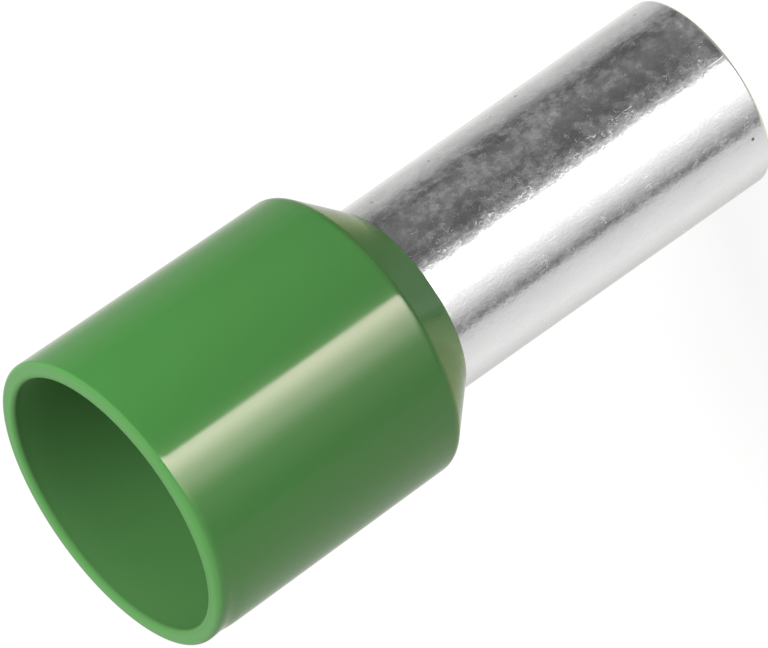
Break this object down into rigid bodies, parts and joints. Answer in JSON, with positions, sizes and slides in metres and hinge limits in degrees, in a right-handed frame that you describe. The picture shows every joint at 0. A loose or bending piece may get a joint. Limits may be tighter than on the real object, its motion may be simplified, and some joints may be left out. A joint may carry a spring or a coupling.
{
  "type": "wire ferrule",
  "caption": "Insulated wire-end ferrule: a thin tinned copper sleeve, flared inside, held in a green plastic collar with a cone and an open mouth for the wire.",
  "frame": {"origin": "centre of the sleeve tip's end face, which the part stands on", "axes": "+Z along the ferrule's axis, from the sleeve's tip to the collar's mouth; the part is round, so X and Y are any two directions across it"},
  "size_m": [0.0096, 0.0096, 0.0224],
  "materials": {
    "tinned_copper": "bright drawn tube with a thin tin plating",
    "green_plastic": "satin moulded"
  },
  "bodies": {
    "root": {"sleeve": "tinned_copper", "collar": "green_plastic"}
  },
  "joints": []
}
